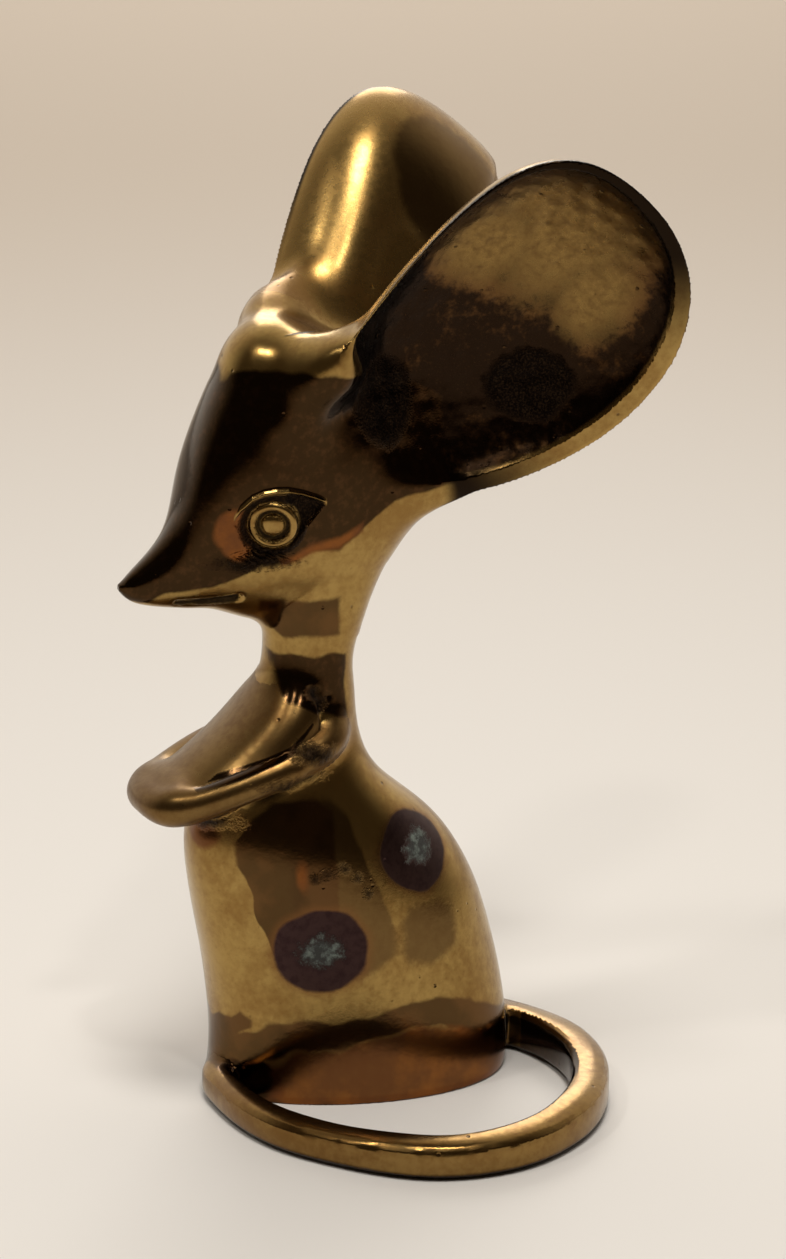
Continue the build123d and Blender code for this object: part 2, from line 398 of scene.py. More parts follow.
# The braze at the shoulder: a jagged seam of small hollows
SHOULDER = [(11.3, -12.7, 55.0), (12.1, -11.3, 54.0), (12.4, -10.0, 53.2), (12.6, -8.4, 52.0)]
SHOULDER_DEPTHS = (0.25, 0.45)
SHOULDER_RADIUS = 0.55
# The ears lie outside this half width and above this level
EARS_SIDE = 5.5
EARS_FOOT = 84


def cup_share(own, normals):
    """1 on the hollow side of the ears, fading out at the rim."""
    out = np.zeros(len(own))
    for side in (1, -1):
        flip = np.array((side, 1, 1))
        behind = (own * flip - EAR_ROOT) @ EAR_OUT
        beyond = (own * flip - EAR_ROOT) @ EAR_ALONG
        facing = (normals * flip) @ EAR_OUT
        middle = EAR_ROOT + 22 * EAR_ALONG - 3 * EAR_OUT
        inward = np.sum((normals * flip) * (middle - own * flip), axis=1)
        here = smooth(-0.3, -0.9, behind) * smooth(-0.75, -0.45, facing) * smooth(-8, -2, beyond)
        here = here * smooth(-1.0, 1.5, inward)
        out = np.maximum(out, here * (own[:, 0] * side > EARS_SIDE) * (own[:, 2] > EARS_FOOT))
    return out


def face_relief(own):
    """Ring, dome, lid line, inner corner and chisel marks of the eyes, and the mouth."""
    out = np.zeros(len(own))
    for side in (1, -1):
        a, b, w = eye_place(own, side)
        here = (np.hypot(a, b) < 11) & (np.abs(w) < 6)
        a, b = a[here], b[here]
        r = np.hypot(a, b)
        ring = np.sqrt(np.maximum(1 - ((r - RING_RADIUS) / RING_HALF_WIDTH) ** 2, 0))
        dome = np.sqrt(np.maximum(1 - (r / DOME_RADIUS) ** 2, 0))
        h = np.maximum(RING_RISE * ring, DOME_RISE * dome)
        lid = np.interp(a, LID_ALONG, LID_HEIGHT)
        lash = smooth(-5.4, -4.0, a) * smooth(7.8, 6.6, a)
        h += LID_RISE * np.exp(-(((b - lid) / LID_HALF_WIDTH) ** 2)) * lash
        low = np.interp(a, (2.6, 4.4, 7.4), (-3.2, -1.2, 2.2))
        corner = smooth(3.2, 4.2, r) * smooth(lid + 0.1, lid - 0.5, b)
        corner = corner * smooth(low - 0.1, low + 0.5, b)
        h -= CORNER_DEPTH * corner * smooth(1.5, 3.5, a) * smooth(7.9, 6.4, a)
        chisel = smooth(3.9, 4.5, r) * np.exp(-(((a + 1.8) / 3.4) ** 2))
        chisel = chisel * np.exp(-(((b + 4.6) / 1.1) ** 2))
        strokes = np.sin(a * 3.4 + 1.5 * np.sin(b * 2.6)) * np.cos(b * 3.6 + a)
        h -= chisel * (0.45 + 0.45 * strokes)
        out[here] += h
    d = line_distance(own[:, 1], own[:, 2], MOUTH)
    end = np.hypot(own[:, 1] - MOUTH[-1][0], own[:, 2] - MOUTH[-1][1])
    cut = 0.4 * np.exp(-((d / 0.5) ** 2)) + 0.3 * np.exp(-((end / 0.6) ** 2))
    return out - cut * (np.abs(own[:, 0]) > MOUTH_SIDE)


def bell(own, x, y, z, radius):
    """1 at a place, fading out round it over about the radius."""
    squared_gap = (own[:, 0] - x) ** 2 + (own[:, 1] - y) ** 2 + (own[:, 2] - z) ** 2
    return np.exp(-squared_gap / radius**2)


def relief(own, cup):
    """How far the surface stands out from the smooth one, in millimetres."""
    dents = waves(own, DENTS)
    h = HAND_HEIGHT * waves(own, HAND)
    h = h + cup * (DENT_HEIGHT * dents + GRAIN_HEIGHT * waves(own, GRAIN))
    for x, y, z, radius, depth in PITS:
        for side in (1, -1):
            h = h - depth * bell(own, x * side, y, z, radius)
    for index, spot in enumerate(SHOULDER):
        h = h - SHOULDER_DEPTHS[index % 2] * bell(own, *spot, SHOULDER_RADIUS)
    close = near_eye(own, 12) | near_mouth(own, 3)
    h[close] += face_relief(own[close])
    for x, y, z, radius in LUMPS:
        h = h + LUMP_HEIGHT * bell(own, x, y, z, radius) * dents
    # Nothing moves at the table
    return h * smooth(0.0, 1.2, own[:, 2])


def refine(points, quads, chosen, cuts):
    """Cuts the quads between chosen points finer: all points, the other quads, new faces."""
    inside = chosen[quads]
    taken = inside.any(axis=1)
    used, local = np.unique(quads[taken], return_inverse=True)
    local = local.reshape(-1, 4)
    bm = bmesh.new()
    verts = [bm.verts.new(points[i]) for i in used]
    for corners in local:
        bm.faces.new([verts[i] for i in corners])
    full = chosen[used]
    bm.verts.ensure_lookup_table()
    bm.verts.index_update()
    edges = [e for e in bm.edges if full[e.verts[0].index] and full[e.verts[1].index]]
    bmesh.ops.subdivide_edges(bm, edges=edges, cuts=cuts, use_grid_fill=True)
    bm.verts.index_update()
    added = np.array([v.co for v in bm.verts])[len(used):]
    number = np.concatenate([used, len(points) + np.arange(len(added))])
    faces = [number[[v.index for v in f.verts]] for f in bm.faces]
    bm.free()
    return np.concatenate([points, added]), quads[~taken], faces


# The head gets a finer mesh round the eyes and the mouth
own = points - SHIFT
chosen = near_eye(own, 8.6) | near_mouth(own, 2.2)
points, quads, fine_faces = refine(points, quads, chosen, cuts=2)
points = settle(points)
own = points - SHIFT

# All faces as one list of corners, with the next corner of the face beside each
corner_list = np.concatenate([quads.ravel()] + fine_faces)
corner_count = np.concatenate([np.full(len(quads), 4), [len(face) for face in fine_faces]])
corner_count = corner_count.astype(np.int64)
face_start = np.concatenate([[0], np.cumsum(corner_count)[:-1]])
face_of_corner = np.repeat(np.arange(len(corner_count)), corner_count)
following = np.arange(len(corner_list)) + 1
following[face_start + corner_count - 1] = face_start
edge_a, edge_b = corner_list, corner_list[following]


def calm(vectors, turns, strictness):
    """Smooths normals over the mesh without running over edges."""
    for _ in range(turns):
        alike = np.maximum(np.sum(vectors[edge_a] * vectors[edge_b], axis=1), 0) ** strictness
        total = vectors.copy()
        for axis in range(3):
            total[:, axis] += np.bincount(edge_a, alike * vectors[edge_b, axis], len(vectors))
            total[:, axis] += np.bincount(edge_b, alike * vectors[edge_a, axis], len(vectors))
        vectors = total / np.linalg.norm(total, axis=1, keepdims=True)
    return vectors


# Where the surface is the cup of an ear, a hollow corner or a thin edge, from 0 to 1
HOLLOW_REACH = 2.0
THIN_REACH = 0.9

base_normals = calm(whole.slope(points, step=0.36), turns=24, strictness=60)
cup = cup_share(own, base_normals)
hollow = np.clip(1 - whole.at(points + base_normals * HOLLOW_REACH) / HOLLOW_REACH, 0, 1)
thin = np.clip(1 + whole.at(points - base_normals * THIN_REACH) / THIN_REACH, 0, 1)

# The normals lean with the relief
TILT_STEP = 0.05

height = relief(own, cup)
tilt = np.empty_like(points)
for axis in range(3):
    move = np.zeros(3)
    move[axis] = TILT_STEP
    tilt[:, axis] = (relief(own + move, cup) - relief(own - move, cup)) / (2 * TILT_STEP)
tilt -= np.sum(tilt * base_normals, axis=1, keepdims=True) * base_normals
normals = base_normals - tilt
normals /= np.linalg.norm(normals, axis=1, keepdims=True)

# Each face goes to the casting that it lies nearest to
core_gap = core.at(points)
gaps = {
    "head": np.where(own[:, 2] > SEAM, core_gap, np.inf),
    "body": np.where(own[:, 2] <= SEAM, core_gap, np.inf),
    "ear_left": ears["ear_left"].at(points),
    "ear_right": ears["ear_right"].at(points),
    "arms": arms.at(points),
    "tail": tail.at(points),
}
points = points + base_normals * height[:, None]
points[:, 2] = np.maximum(points[:, 2], 0.0)
points = np.clip(points, box_low, box_high)

names = list(gaps) + ["eye_left", "eye_right"]
nearest = np.argmin(np.stack(list(gaps.values())), axis=0)
for name, side in (("eye_left", 1), ("eye_right", -1)):
    a, b, w = eye_place(own, side)
    nearest[(np.hypot(a, b) < EYE_RADIUS) & (np.abs(w) < 3)] = names.index(name)
face_label = nearest[corner_list[face_start]]

# Stains, painted shade and painted reflections: how far inside each kind a point lies, in
# millimetres.
# Outlines give the kind, the least X if they lie on one side only, and Y with the lowest and highest
# Z in the side view.
BOTH_SIDES = None
NEAR_SIDE = 3.0
OUTLINES = [
    # Dark on the head's sides: patina, and a painted reflection of the dark room
    ("dark", BOTH_SIDES, (
        (-36.0, 75.2, 82.0), (-31.2, 76.0, 90.0), (-26.7, 77.2, 99.0), (-23.4, 77.6, 104.0),
        (-21.0, 78.5, 106.0), (-19.5, 79.6, 108.0), (-17.0, 81.0, 109.2), (-13.3, 81.3, 109.2),
        (-9.8, 82.5, 109.4), (-5.1, 82.6, 109.0), (-2.8, 84.3, 108.6), (0.2, 87.0, 108.0),
        (3.0, 89.0, 107.0), (5.4, 89.4, 106.0), (11.0, 91.0, 103.0),
    )),
    ("dark", BOTH_SIDES, ((-13.0, 60.5, 66.2), (-8.7, 58.5, 66.5), (-3.4, 57.0, 66.0))),
    ("dark", BOTH_SIDES, (
        (-25.0, 0.0, 3.0), (-22.0, 0.0, 5.0), (-17.5, 0.0, 6.5), (-15.0, 0.0, 3.0),
    )),
    ("brown", BOTH_SIDES, (
        (-16.0, 73.5, 75.6), (-12.0, 69.0, 74.6), (-8.2, 69.1, 75.0), (-4.6, 69.6, 74.7),
    )),
    # Brown on the near flank only: a painted reflection of the dark room
    ("brown", NEAR_SIDE, (
        (-21.2, 37.5, 40.0), (-20.0, 35.2, 42.2), (-18.6, 28.5, 43.9), (-16.0, 22.0, 45.6),
        (-14.0, 20.5, 46.2), (-11.5, 22.0, 46.4), (-9.6, 25.0, 46.0), (-7.6, 31.0, 44.0),
    )),
    # A fainter painted reflection of the dark room beside it, also on the near flank only
    ("faint", NEAR_SIDE, (
        (-14.0, 19.6, 46.2), (-10.0, 19.2, 46.4), (-7.5, 18.8, 45.8), (-5.4, 19.2, 43.3),
        (-3.3, 20.0, 38.2), (-1.2, 21.0, 32.2), (0.9, 23.0, 25.5),
    )),
    # Brown bands round the foot: painted reflections of the tail
    ("brown", BOTH_SIDES, (
        (-23.5, 4.0, 5.0), (-22.1, 5.5, 12.0), (-20.8, 8.6, 12.7), (-20.2, 9.8, 13.8),
        (-18.6, 11.9, 12.9),
    )),
    ("brown", BOTH_SIDES, (
        (-23.5, 3.0, 6.5), (-19.6, 5.4, 10.4), (-16.4, 7.2, 12.3), (-13.2, 8.3, 13.0),
        (-7.5, 8.5, 13.1), (-3.3, 9.8, 13.3), (1.2, 10.9, 14.6), (7.8, 10.6, 14.9),
        (13.3, 8.2, 13.4), (18.6, 3.0, 10.4), (23.0, 0.0, 9.0),
    )),
    ("faint", NEAR_SIDE, (
        (1.6, 23.0, 27.0), (3.0, 20.8, 28.6), (7.2, 20.4, 29.4), (11.4, 22.0, 27.8),
    )),
    ("copper", BOTH_SIDES, (
        (-17.0, 0.0, 5.0), (-13.0, 0.0, 8.2), (-7.5, 0.0, 8.4), (-1.8, 0.0, 10.2),
        (4.5, 0.0, 11.0), (11.1, 0.0, 9.6), (14.8, 0.0, 7.6), (19.0, 0.0, 5.0), (23.0, 0.0, 3.0),
    )),
    ("copper", BOTH_SIDES, (
        (-14.0, 80.9, 82.0), (-9.8, 82.3, 83.6), (-5.1, 82.9, 84.5), (-2.0, 84.9, 86.2),
    )),
]
# Oval spots: the kind, the middle and the radii
SPOTS = [
    ("copper", (8.3, -20.6, 86.4), (4.0, 2.9, 3.0)),
    ("copper", (6.9, -20.0, 84.6), (4.0, 2.3, 2.3)),
    ("copper", (13.0, -12.4, 35.4), (3.0, 0.9, 2.0)),
    ("copper", (3.4, -24.4, 40.6), (3.5, 2.6, 2.0)),
    ("oxide", (14.0, -10.1, 24.2), (7.0, 7.1, 6.3)),
    ("oxide", (11.6, 5.8, 36.9), (7.0, 6.3, 6.1)),
    ("verdigris", (14.0, -10.3, 24.0), (3.0, 2.6, 1.9)),
    ("verdigris", (11.2, 6.0, 37.4), (3.0, 2.2, 2.1)),
    ("soot_and_shade", (9.5, 1.8, 103.6), (5.0, 4.2, 6.2)),
    ("soot_and_shade", (15.0, -5.0, 111.5), (2.5, 1.6, 3.0)),
    ("soot_and_shade", (12.0, 22.5, 104.6), (6.0, 6.4, 5.0)),
    ("soot_and_shade", (8.3, -17.6, 81.5), (4.0, 4.4, 0.9)),
    ("soot_and_shade", (11.9, -13.0, 49.4), (3.0, 4.2, 0.9)),
    ("soot_and_shade", (3.8, -24.4, 42.9), (4.0, 3.2, 0.7)),
    ("soot_and_shade", (12.2, -10.3, 53.4), (2.4, 2.6, 1.2)),
    ("soot_and_shade", (7.5, -8.3, 61.0), (1.2, 0.8, 0.8)),
    ("soot_and_shade", (7.7, -7.4, 59.2), (1.2, 0.9, 0.9)),
    ("soot_and_shade", (13.4, -10.6, 35.2), (3.0, 0.35, 0.35)),
    ("soot_and_shade", (13.5, -9.0, 35.4), (3.0, 0.45, 0.3)),
    ("soot_and_shade", (13.6, -6.6, 36.2), (3.0, 0.4, 0.4)),
    ("soot_and_shade", (13.6, -4.6, 35.0), (3.0, 0.55, 0.5)),
    ("soot_and_shade", (13.7, -3.2, 32.1), (3.0, 0.4, 0.4)),
    ("faint", (-19.0, 24.0, 127.0), (9.0, 10.0, 17.0)),
    ("solder", (6.5, 22.0, 5.0), (2.6, 1.2, 4.0)),
]
KINDS = ("faint", "brown", "dark", "copper", "oxide", "verdigris", "soot_and_shade", "solder")
# The groove between the arm and the broad surface above it, in the side view
ARM_GROOVE = (
    (-27.0, 49.0), (-23.8, 50.2), (-21.0, 51.2), (-17.1, 52.5), (-13.2, 53.9), (-9.6, 57.0),
)
# The tail: all that is low and outside the oval of the body's foot, in a loop about a middle
FOOT_RADII = (18.2, 26.4)
TAIL_CEILING = 40
TAIL_LOOP_MIDDLE = np.array((20.0, 0.0))
# The outlines' drift in Y and Z, and its reach
DRIFT = [make_waves(count=16, longest=12, shortest=4.0, seed=seed) for seed in (11, 12)]
DRIFT_REACH = 0.3
# How far inside or outside is kept at most, and a value well outside of any stain
FARTHEST = 4.0
NOWHERE = -9.0

own = points - SHIFT
drift = np.stack([np.zeros(len(own)), waves(own, DRIFT[0]), waves(own, DRIFT[1])], axis=1)
drifted = own + DRIFT_REACH * drift
past_foot = np.hypot(own[:, 0] / FOOT_RADII[0], own[:, 1] / FOOT_RADII[1]) >= 1
on_tail = (own[:, 2] <= TAIL_CEILING) & past_foot
stains_and_shade = {kind: np.full(len(own), -FARTHEST) for kind in KINDS}


def add_patch(kind, depth):
    """Adds a patch to one of the kinds, stain and painted shade alike, by how far inside the patch
    each point lies.
    """
    stains_and_shade[kind] = np.maximum(stains_and_shade[kind], depth)


for kind, least_x, outline in OUTLINES:
    y, low, high = np.array(outline).T
    inside = np.minimum(
        drifted[:, 2] - np.interp(drifted[:, 1], y, low),
        np.interp(drifted[:, 1], y, high) - drifted[:, 2],
    )
    inside = np.minimum(inside, np.minimum(drifted[:, 1] - y[0], y[-1] - drifted[:, 1]))
    if least_x is not None:
        inside = np.minimum(inside, own[:, 0] - least_x)
    add_patch(kind, np.where(on_tail, -FARTHEST, inside))
for kind, middle, radii in SPOTS:
    away = np.linalg.norm((drifted - np.array(middle)) / np.array(radii), axis=1)
    depth = (1 - away) * min(radii[1:])
    # A spot in the near ear keeps off the ear's outside
    if middle[2] > 98 and middle[0] > 0:
        on_head = (own[:, 0] < 11.5) & (own[:, 1] < 10)
        depth = np.where((cup > 0.3) | on_head, depth, -FARTHEST)
    add_patch(kind, depth)

# The grooves round the dome and the ring of an eye: radius and half width
GROOVES = ((2.08, 0.36), (4.22, 0.5))

# The eyes keep the plain brass of their ring, dome and lid line, with painted shade in the grooves
# between them and in the corner under the lid
for side in (1, -1):
    a, b, w = eye_place(own, side)
    r = np.hypot(a, b)
    lid = np.interp(a, LID_ALONG, LID_HEIGHT)
    here = (np.abs(w) < 4) & (r < 9)
    past_lid = (r > EYE_RADIUS) & ((a < LID_ALONG[0]) | (a > LID_ALONG[-1]))
    bright = np.maximum(EYE_RADIUS - r, 0.34 - np.abs(b - lid))
    bright = np.where(here & ~past_lid, bright, NOWHERE)
    for kind in ("dark", "brown", "copper", "soot_and_shade"):
        stains_and_shade[kind] = np.minimum(stains_and_shade[kind], -bright)
    inner, outer = (half_width - np.abs(r - radius) for radius, half_width in GROOVES)
    grooves = np.maximum(inner, outer)
    low = np.interp(a, (2.6, 4.4, 7.0), (-2.2, -0.6, 2.0))
    corner = np.minimum(lid - 0.35 - b, b - low)
    corner = np.minimum(corner, np.minimum(a - 2.0, 7.0 - a))
    grooves = np.where(r > 4.6, np.maximum(grooves, corner), grooves)
    add_patch("soot_and_shade", np.where(here, grooves, NOWHERE) * 2.5)
# Painted shade darkens the mouth's slit
slit = np.interp(own[:, 1], (-31.0, -26.0, -19.6, -18.8), (0.15, 0.40, 0.70, 0.30))
slit = slit - line_distance(own[:, 1], own[:, 2], MOUTH)
add_patch("soot_and_shade", np.where(own[:, 2] < 78, slit * 3.0, NOWHERE))
# Painted shade darkens the groove along each arm
groove = np.interp(own[:, 1], (-27.0, -21.0, -14.0, -9.6), (0.10, 0.42, 0.50, 0.20))
groove = groove - line_distance(own[:, 1], own[:, 2], ARM_GROOVE)
on_arm = (own[:, 0] > 7.0) & (own[:, 1] < -9.0) & (own[:, 2] < 58.0)
add_patch("dark", np.where(on_arm, groove * 2.5, NOWHERE))
# Painted shade darkens the inner side of the tail's loop
from_middle = own[:, :2] - TAIL_LOOP_MIDDLE
inward = -np.sum(normals[:, :2] * from_middle, axis=1) / np.linalg.norm(from_middle, axis=1)
add_patch("dark", np.where(on_tail, (inward - 0.5) * 4.0, NOWHERE))
# A painted contact shadow darkens where the castings meet the table
add_patch("dark", 1.1 - own[:, 2])
stains_and_shade = {kind: np.clip(values, -FARTHEST, FARTHEST) for kind, values in stains_and_shade.items()}

# Painted pools of light in the cups: Y, Z and radii
GLOW = [
    (24.5, 127.5, 9.0, 9.0), (14.5, 127.0, 7.0, 5.5), (29.5, 118.0, 4.2, 6.0),
    (21.0, 133.0, 7.0, 4.5),
]
GLOW_REACH = 1.6

# The lip of each ear, with painted shade round the top and the tip, and the painted pools of light
# in its cup
lip_shade = np.zeros(len(own))
glow = np.zeros(len(own))
for side in (1, -1):
    from_root = own * np.array((side, 1, 1)) - EAR_ROOT
    behind, along, above = from_root @ EAR_OUT, from_root @ EAR_ALONG, from_root @ EAR_UP
    here = (own[:, 0] * side > 5) & (own[:, 2] > EARS_FOOT)
    round_top = smooth(16, 42, along + 0.9 * above)
    round_root = smooth(20, 3, along) * smooth(4, -4, above)
    edge = smooth(-1.2, -0.5, behind) * smooth(1.2, 0.5, behind) * (along > -8)
    lip_shade = np.maximum(lip_shade, edge * np.maximum(round_top, round_root) * here)
    for y, z, length, height in GLOW:
        away = np.hypot((own[:, 1] - y) / length, (own[:, 2] - z) / height)
        glow = np.maximum(glow, np.clip(GLOW_REACH - away, 0, GLOW_REACH) * here)

# The node that each piece stands for
replaced = {
    "head": "head", "body": "body_shell", "ear_left": "left_ear", "ear_right": "right_ear",
    "eye_left": "left_eye", "eye_right": "right_eye", "arms": "arms", "tail": "tail",
}
# A piece carries the kinds of stain and painted shade that come as near to it as this
PATCH_REACH = 1.5


def build_piece(name, keep):
    """A piece made of the faces to keep, and the kinds of stain and painted shade that it carries.
    """
    corners = corner_list[keep[face_of_corner]]
    counts = corner_count[keep]
    used, local = np.unique(corners, return_inverse=True)
    mesh = bpy.data.meshes.new("dressed_" + name)
    mesh.vertices.add(len(used))
    mesh.vertices.foreach_set("co", (points[used] / 1000).astype(np.float32).ravel())
    mesh.loops.add(len(local))
    mesh.loops.foreach_set("vertex_index", local.astype(np.int32).ravel())
    mesh.polygons.add(len(counts))
    starts = np.concatenate([[0], np.cumsum(counts)[:-1]])
    mesh.polygons.foreach_set("loop_start", starts.astype(np.int32))
    mesh.polygons.foreach_set("loop_total", counts.astype(np.int32))
    mesh.update(calc_edges=True)
    mesh.validate()
    mesh.polygons.foreach_set("use_smooth", np.ones(len(mesh.polygons), bool))
    mesh.normals_split_custom_set_from_vertices(normals[used])
    shared = {"cup": cup, "hollow": hollow, "thin": thin, "lip_shade": lip_shade, "glow": glow}
    kinds = [kind for kind in KINDS if stains_and_shade[kind][used].max() > -PATCH_REACH]
    for label, values in {**shared, **{kind: stains_and_shade[kind] for kind in kinds}}.items():
        layer = mesh.attributes.new(label, "FLOAT", "POINT")
        layer.data.foreach_set("value", values[used].astype(np.float32))
    piece = bpy.data.objects.new("dressed_" + name, mesh)
    bpy.context.scene.collection.objects.link(piece)
    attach(piece, "root")
    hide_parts(replaced[name])
    return piece, kinds


made = {name: build_piece(name, face_label == index) for index, name in enumerate(names)}

# Colours of old brass, polished and tarnished
GOLD = (0.375, 0.246, 0.079)
DEEP_GOLD = (0.265, 0.152, 0.045)
BROWN = (0.075, 0.040, 0.016)
DARK = (0.034, 0.018, 0.008)
# Roughness, metal, strength, edge width and edge wander of each kind of stain and painted shade. One
# without a metal of its own leaves the metal and the relief as they are.
FINISH = {
    "faint": (0.15, None, 0.80, 1.0, 1.0),
    "brown": (0.13, None, 0.94, 0.4, 0.35),
    "dark": (0.12, None, 0.97, 0.35, 0.3),
    "copper": (0.20, None, 0.9, 0.6, 0.6),
    "oxide": (0.40, None, 0.97, 0.35, 0.25),
    "verdigris": (0.7, 0.0, 0.85, 0.8, 2.4),
    "soot_and_shade": (0.36, 1.0, 0.95, 0.7, 1.5),
    "solder": (0.38, None, 0.85, 0.5, 0.8),
}
# Pieces with a duller gold or a duller polish than the rest
PIECE_GOLD = {
    "tail": (0.27, 0.164, 0.053),
    "arms": (0.20, 0.121, 0.042),
    "ear_right": (0.34, 0.215, 0.070),
}
PIECE_SHINE = {"arms": 0.24, "ear_right": 0.20}
SHINE = 0.15


class Graph:
    """A few short ways to draw a material's nodes."""

    def __init__(self, name):
        self.material = bpy.data.materials.new(name)
        self.material.use_nodes = True
        self.nodes = self.material.node_tree.nodes
        self.links = self.material.node_tree.links
        self.shader = self.nodes["Principled BSDF"]

    def put(self, socket, value):
        """Links an output to a socket, or sets the socket's own value."""
        if isinstance(value, bpy.types.NodeSocket):
            self.links.new(value, socket)
        else:
            socket.default_value = value

    def math(self, operation, a, b=0.0):
        node = self.nodes.new("ShaderNodeMath")
        node.operation = operation
        self.put(node.inputs[0], a)
        self.put(node.inputs[1], b)
        return node.outputs[0]

    def vector(self, operation, a, b=(0.0, 0.0, 0.0)):
        node = self.nodes.new("ShaderNodeVectorMath")
        node.operation = operation
        self.put(node.inputs[0], a)
        self.put(node.inputs[1], b)
        return node.outputs["Value"] if operation in ("LENGTH", "DOT_PRODUCT") else node.outputs[0]

    def ramp(self, value, low, high, out_low=0.0, out_high=1.0):
        node = self.nodes.new("ShaderNodeMapRange")
        node.interpolation_type = "SMOOTHSTEP"
        for index, number in enumerate((value, low, high, out_low, out_high)):
            self.put(node.inputs[index], number)
        return node.outputs[0]

    def mix(self, share, a, b, colour=True):
        node = self.nodes.new("ShaderNodeMix")
        node.data_type = "RGBA" if colour else "FLOAT"
        self.put(node.inputs["Factor"], share)
        first, second = [s for s in node.inputs if s.name in "AB" and s.enabled]
        for socket, value in ((first, a), (second, b)):
            self.put(socket, (*value, 1.0) if isinstance(value, tuple) else value)
        return [s for s in node.outputs if s.enabled][0]

    def noise(self, place, scale, detail=4.0, roughness=0.55):
        node = self.nodes.new("ShaderNodeTexNoise")
        self.put(node.inputs["Vector"], place)
        self.put(node.inputs["Scale"], scale)
        self.put(node.inputs["Detail"], detail)
        self.put(node.inputs["Roughness"], roughness)
        return node.outputs["Fac"]

    def cells(self, place, scale):
        node = self.nodes.new("ShaderNodeTexVoronoi")
        self.put(node.inputs["Vector"], place)
        self.put(node.inputs["Scale"], scale)
        return node.outputs["Distance"], node.outputs["Color"]

    def attribute(self, name):
        node = self.nodes.new("ShaderNodeAttribute")
        node.attribute_name = name
        return node.outputs["Fac"]

    def times(self, a, b):
        return self.math("MULTIPLY", a, b)

    def plus(self, a, b):
        return self.math("ADD", a, b)


